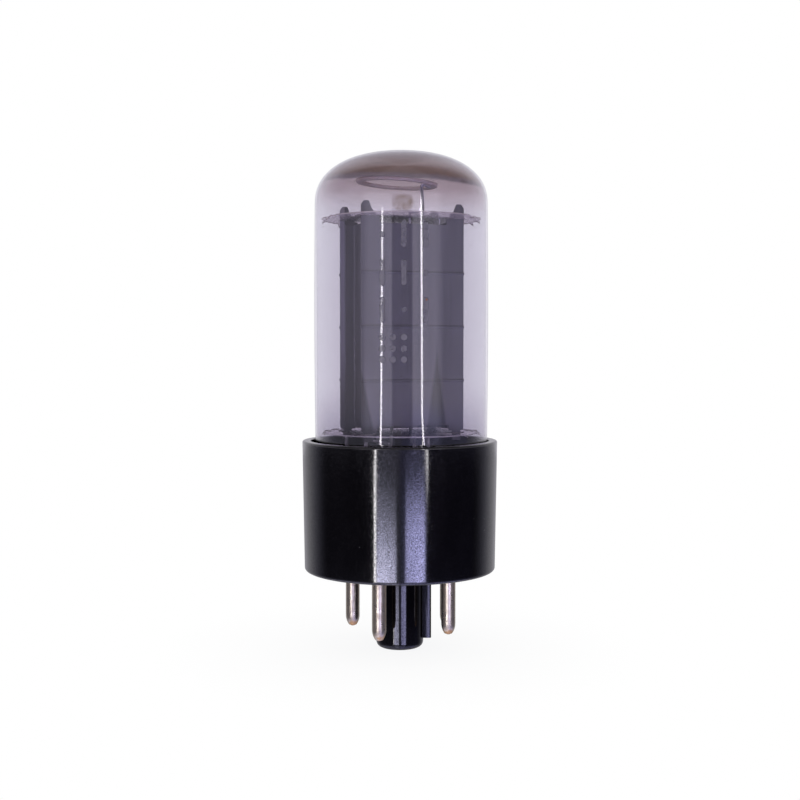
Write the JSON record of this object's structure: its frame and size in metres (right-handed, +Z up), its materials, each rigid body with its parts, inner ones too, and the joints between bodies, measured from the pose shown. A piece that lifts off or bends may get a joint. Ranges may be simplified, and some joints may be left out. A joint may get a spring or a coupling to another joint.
{
  "type": "vacuum tube",
  "caption": "Straight-sided glass rectifier tube with a twin-anode cage between micas, a getter ring, and a black octal base with pins and a keyed locating lug.",
  "frame": {"origin": "centre of the end face of the locating lug, which is the object's lowest point", "axes": "+Z up along the base's axis from the lug to the dome; +X towards the key on the lug; -Y is the front"},
  "size_m": [0.0326, 0.0326, 0.0827],
  "materials": {
    "phenolic": "gloss",
    "cement": "matte",
    "pin_plating": "polished",
    "solder": "satin",
    "bulb_glass": "polished",
    "stem_glass": "polished",
    "anode_carbonised": "matte",
    "mica": "satin",
    "oxide_coating": "matte",
    "nickel_wire": "satin",
    "copper_wire": "satin",
    "getter_metal": "satin"
  },
  "bodies": {
    "valve": {"base_shell": "phenolic", "base_cement": "cement", "pin_1": "pin_plating", "pin_2": "pin_plating", "pin_4": "pin_plating", "pin_6": "pin_plating", "pin_8": "pin_plating", "solder_1": "solder", "solder_2": "solder", "solder_4": "solder", "solder_6": "solder", "solder_8": "solder", "glass_bulb": "bulb_glass", "stem_flare": "stem_glass", "stem_press": "stem_glass", "exhaust_tube": "stem_glass", "anode_1_face": "anode_carbonised", "anode_1_channel": "anode_carbonised", "anode_2_face": "anode_carbonised", "anode_2_channel": "anode_carbonised", "mica_top": "mica", "mica_bottom": "mica", "filament_1": "oxide_coating", "filament_2": "oxide_coating", "filament_spring_1": "nickel_wire", "filament_spring_2": "nickel_wire", "filament_link": "nickel_wire", "inner_lead_2": "nickel_wire", "inner_lead_4": "nickel_wire", "inner_lead_6": "nickel_wire", "inner_lead_8": "nickel_wire", "outer_lead_2": "copper_wire", "outer_lead_4": "copper_wire", "outer_lead_6": "copper_wire", "outer_lead_8": "copper_wire", "getter_ring": "getter_metal", "getter_wire": "nickel_wire"},
    "hook_1": {"filament_hook_1": "nickel_wire"},
    "hook_2": {"filament_hook_2": "nickel_wire"}
  },
  "joints": [
    {"name": "hook_1_lift", "type": "slide", "parent": "valve", "child": "hook_1", "axis": [0, 0, 1], "range_m": [0, 0.0004], "deforming": ["filament_1", "filament_spring_1"]},
    {"name": "hook_2_lift", "type": "slide", "parent": "valve", "child": "hook_2", "axis": [0, 0, 1], "range_m": [0, 0.0004], "deforming": ["filament_2", "filament_spring_2"]}
  ],
  "couplings": [
    {"joint": "hook_2_lift", "follows": "hook_1_lift", "ratio": 1}
  ]
}
